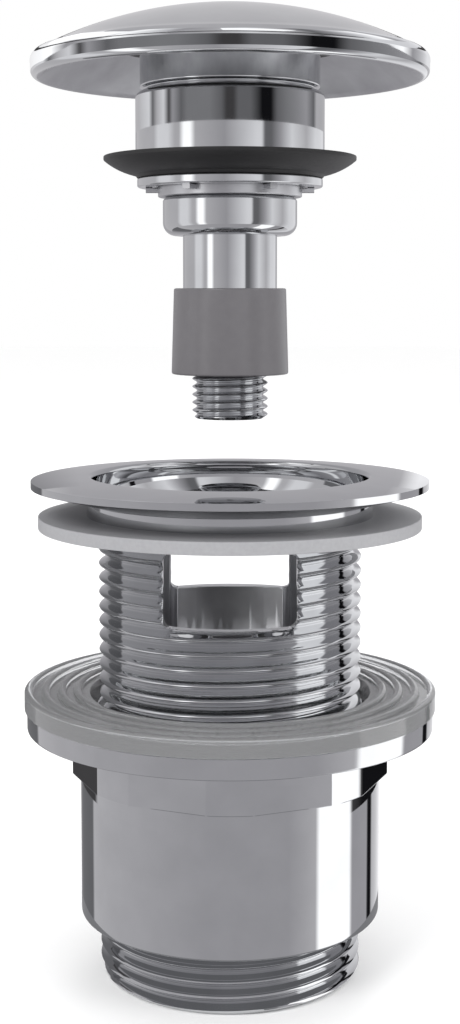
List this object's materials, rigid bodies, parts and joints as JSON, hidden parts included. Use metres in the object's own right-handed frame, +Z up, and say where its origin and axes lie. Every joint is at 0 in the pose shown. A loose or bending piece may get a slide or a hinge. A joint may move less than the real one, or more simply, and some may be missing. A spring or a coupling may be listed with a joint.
{
  "type": "pop up basin waste",
  "caption": "Chromed pop up basin waste: dished flange with slotted threaded sleeve, screw-up tail body with outlet thread, and a click plug with domed cap, shown lifted off.",
  "frame": {"origin": "centre of the outlet's end face, on the waste's axis", "axes": "+Z up the axis towards the cap; one overflow window faces -Y and the other +Y"},
  "size_m": [0.0658, 0.0658, 0.1531],
  "materials": {
    "chrome_brass": "mirror chrome plate",
    "grey_washer": "matt grey rubber",
    "clear_gasket": "clear soft PVC",
    "black_rubber": "matt black rubber",
    "grey_plastic": "moulded acetal",
    "white_plastic": "moulded acetal",
    "brass": "turned",
    "spring_steel": "drawn wire"
  },
  "bodies": {
    "flange": {"flange_sleeve": "chrome_brass", "flange_washer": "grey_washer"},
    "gasket": {"deck_gasket": "clear_gasket"},
    "tail": {"tail_body": "chrome_brass"},
    "plug_insert": {"threaded_core": "chrome_brass", "guide_collar": "grey_plastic", "core_clip": "spring_steel", "spring_washer": "spring_steel", "click_spring": "spring_steel"},
    "cam": {"cam_drum": "white_plastic"},
    "plug_head": {"stem_tube": "chrome_brass", "cam_pins": "brass", "guide_sleeve": "chrome_brass", "snap_ring": "chrome_brass", "seal_ring": "chrome_brass", "lip_seal": "black_rubber", "head_cup": "chrome_brass", "cap_neck": "chrome_brass", "cap_gasket": "black_rubber", "cap_stud": "brass", "plug_cap": "chrome_brass"}
  },
  "joints": [
    {"name": "clamp_travel", "type": "slide", "parent": "flange", "child": "gasket", "axis": [0, 0, 1], "range_m": [-0.0041, 0.0181]},
    {"name": "tail_spin", "type": "hinge", "parent": "gasket", "child": "tail", "pos_m": [0, 0, 0.0431], "axis": [0, 0, 1], "range_deg": [-620, 2800]},
    {"name": "plug_lift", "type": "slide", "parent": "flange", "child": "plug_insert", "axis": [0, 0, 1], "range_m": [-0.0482, 0]},
    {"name": "press", "type": "slide", "parent": "plug_insert", "child": "plug_head", "axis": [0, 0, 1], "range_m": [-0.008, 0], "stiffness_N_per_m": 800, "springref_m": 0.006, "deforming": ["click_spring"]},
    {"name": "cam_turn", "type": "hinge", "parent": "plug_insert", "child": "cam", "pos_m": [0, 0, 0.0961], "axis": [0, 0, 1], "range_deg": [-45.5, 0.5]}
  ],
  "couplings": [
    {"joint": "clamp_travel", "follows": "tail_spin", "m_per_rad": 0.00036749},
    {"joint": "cam_turn", "follows": "press", "rad_per_m": 98.175}
  ]
}
